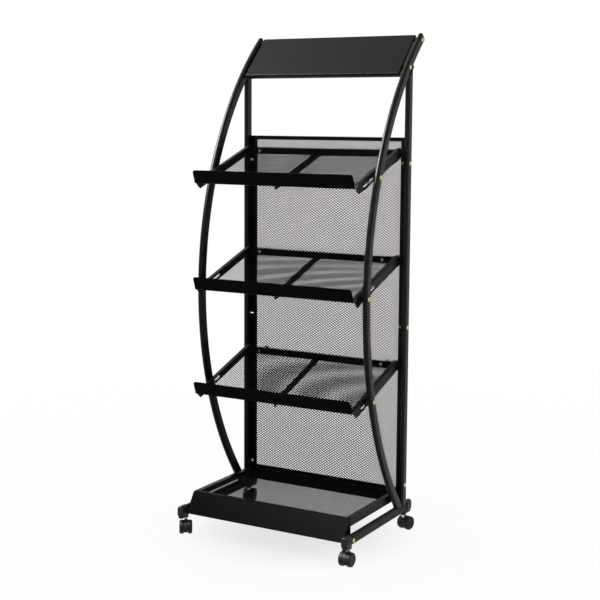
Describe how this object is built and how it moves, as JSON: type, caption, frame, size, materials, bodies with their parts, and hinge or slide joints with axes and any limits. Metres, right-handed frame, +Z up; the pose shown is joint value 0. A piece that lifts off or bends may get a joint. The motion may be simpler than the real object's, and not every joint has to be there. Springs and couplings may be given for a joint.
{
  "type": "periodical display rack",
  "caption": "Free-standing rolling rack that shows magazines on sloping mesh shelves with front lips between two bowed tube sides, with a floor tray, a mesh back and a tilted header panel",
  "frame": {"origin": "centre of the footprint on the floor", "axes": "+X to the rack's right-hand end seen from the front along +Y, +Y from the front lips to the back panel, +Z up"},
  "size_m": [0.5964, 0.471, 1.4708],
  "materials": {
    "black_powder_coat": "satin powder coat on steel tube and sheet",
    "black_mesh": "satin powder coat on expanded steel mesh",
    "grey_plastic": "moulded, lightly grained",
    "black_nylon": "smooth moulded nylon",
    "yellow_zinc": "yellow-passivated zinc",
    "bright_steel": "bright zinc plate"
  },
  "bodies": {
    "rack": {"back_left_caster_stem": "bright_steel", "back_panel_frame": "black_powder_coat", "back_panel_mesh": "black_mesh", "back_right_caster_stem": "bright_steel", "frame_bolts": "yellow_zinc", "frame_nuts": "yellow_zinc", "front_left_caster_stem": "bright_steel", "front_right_caster_stem": "bright_steel", "header_panel": "black_powder_coat", "left_back_rail_end": "grey_plastic", "left_base_rail": "black_powder_coat", "left_bow_cap": "grey_plastic", "left_bow_tube": "black_powder_coat", "left_front_rail_end": "grey_plastic", "left_upright": "black_powder_coat", "lip_rivets": "bright_steel", "lower_shelf_bars": "black_powder_coat", "lower_shelf_left_side": "black_powder_coat", "lower_shelf_lip": "black_powder_coat", "lower_shelf_mesh": "black_mesh", "lower_shelf_right_side": "black_powder_coat", "middle_shelf_bars": "black_powder_coat", "middle_shelf_left_side": "black_powder_coat", "middle_shelf_lip": "black_powder_coat", "middle_shelf_mesh": "black_mesh", "middle_shelf_right_side": "black_powder_coat", "right_back_rail_end": "grey_plastic", "right_base_rail": "black_powder_coat", "right_bow_cap": "grey_plastic", "right_bow_tube": "black_powder_coat", "right_front_rail_end": "grey_plastic", "right_upright": "black_powder_coat", "shelf_screw_nuts": "bright_steel", "shelf_screws": "bright_steel", "shelf_standoffs": "bright_steel", "spacer_sleeves": "bright_steel", "tray_apron": "black_powder_coat", "tray_frame": "black_powder_coat", "tray_mesh": "black_mesh", "upper_shelf_bars": "black_powder_coat", "upper_shelf_left_side": "black_powder_coat", "upper_shelf_lip": "black_powder_coat", "upper_shelf_mesh": "black_mesh", "upper_shelf_right_side": "black_powder_coat"},
    "front_right_caster": {"front_right_caster_housing": "black_nylon", "front_right_caster_axle": "bright_steel"},
    "front_right_caster_left_wheel": {"front_right_caster_left_wheel": "black_nylon"},
    "front_right_caster_right_wheel": {"front_right_caster_right_wheel": "black_nylon"},
    "front_left_caster": {"front_left_caster_housing": "black_nylon", "front_left_caster_axle": "bright_steel"},
    "front_left_caster_left_wheel": {"front_left_caster_left_wheel": "black_nylon"},
    "front_left_caster_right_wheel": {"front_left_caster_right_wheel": "black_nylon"},
    "back_right_caster": {"back_right_caster_housing": "black_nylon", "back_right_caster_axle": "bright_steel"},
    "back_right_caster_left_wheel": {"back_right_caster_left_wheel": "black_nylon"},
    "back_right_caster_right_wheel": {"back_right_caster_right_wheel": "black_nylon"},
    "back_left_caster": {"back_left_caster_housing": "black_nylon", "back_left_caster_axle": "bright_steel"},
    "back_left_caster_left_wheel": {"back_left_caster_left_wheel": "black_nylon"},
    "back_left_caster_right_wheel": {"back_left_caster_right_wheel": "black_nylon"}
  },
  "joints": [
    {"name": "front_right_swivel", "type": "hinge", "parent": "rack", "child": "front_right_caster", "pos_m": [0.2725, -0.1995, 0.039], "axis": [0, 0, 1], "continuous": true},
    {"name": "front_right_left_wheel_spin", "type": "hinge", "parent": "front_right_caster", "child": "front_right_caster_left_wheel", "pos_m": [0.2725, -0.2115, 0.02], "axis": [1, 0, 0], "continuous": true},
    {"name": "front_right_right_wheel_spin", "type": "hinge", "parent": "front_right_caster", "child": "front_right_caster_right_wheel", "pos_m": [0.2725, -0.2115, 0.02], "axis": [1, 0, 0], "continuous": true},
    {"name": "front_left_swivel", "type": "hinge", "parent": "rack", "child": "front_left_caster", "pos_m": [-0.2725, -0.1995, 0.039], "axis": [0, 0, 1], "continuous": true},
    {"name": "front_left_left_wheel_spin", "type": "hinge", "parent": "front_left_caster", "child": "front_left_caster_left_wheel", "pos_m": [-0.26582, -0.20947, 0.02], "axis": [0.831, 0.5563, 0], "continuous": true},
    {"name": "front_left_right_wheel_spin", "type": "hinge", "parent": "front_left_caster", "child": "front_left_caster_right_wheel", "pos_m": [-0.26582, -0.20947, 0.02], "axis": [0.831, 0.5563, 0], "continuous": true},
    {"name": "back_right_swivel", "type": "hinge", "parent": "rack", "child": "back_right_caster", "pos_m": [0.2725, 0.1525, 0.039], "axis": [0, 0, 1], "continuous": true},
    {"name": "back_right_left_wheel_spin", "type": "hinge", "parent": "back_right_caster", "child": "back_right_caster_left_wheel", "pos_m": [0.2756, 0.16409, 0.02], "axis": [-0.9662, 0.258, 0], "continuous": true},
    {"name": "back_right_right_wheel_spin", "type": "hinge", "parent": "back_right_caster", "child": "back_right_caster_right_wheel", "pos_m": [0.2756, 0.16409, 0.02], "axis": [-0.9662, 0.258, 0], "continuous": true},
    {"name": "back_left_swivel", "type": "hinge", "parent": "rack", "child": "back_left_caster", "pos_m": [-0.2725, 0.1525, 0.039], "axis": [0, 0, 1], "continuous": true},
    {"name": "back_left_left_wheel_spin", "type": "hinge", "parent": "back_left_caster", "child": "back_left_caster_left_wheel", "pos_m": [-0.2756, 0.16409, 0.02], "axis": [-0.9662, -0.258, 0], "continuous": true},
    {"name": "back_left_right_wheel_spin", "type": "hinge", "parent": "back_left_caster", "child": "back_left_caster_right_wheel", "pos_m": [-0.2756, 0.16409, 0.02], "axis": [-0.9662, -0.258, 0], "continuous": true}
  ]
}
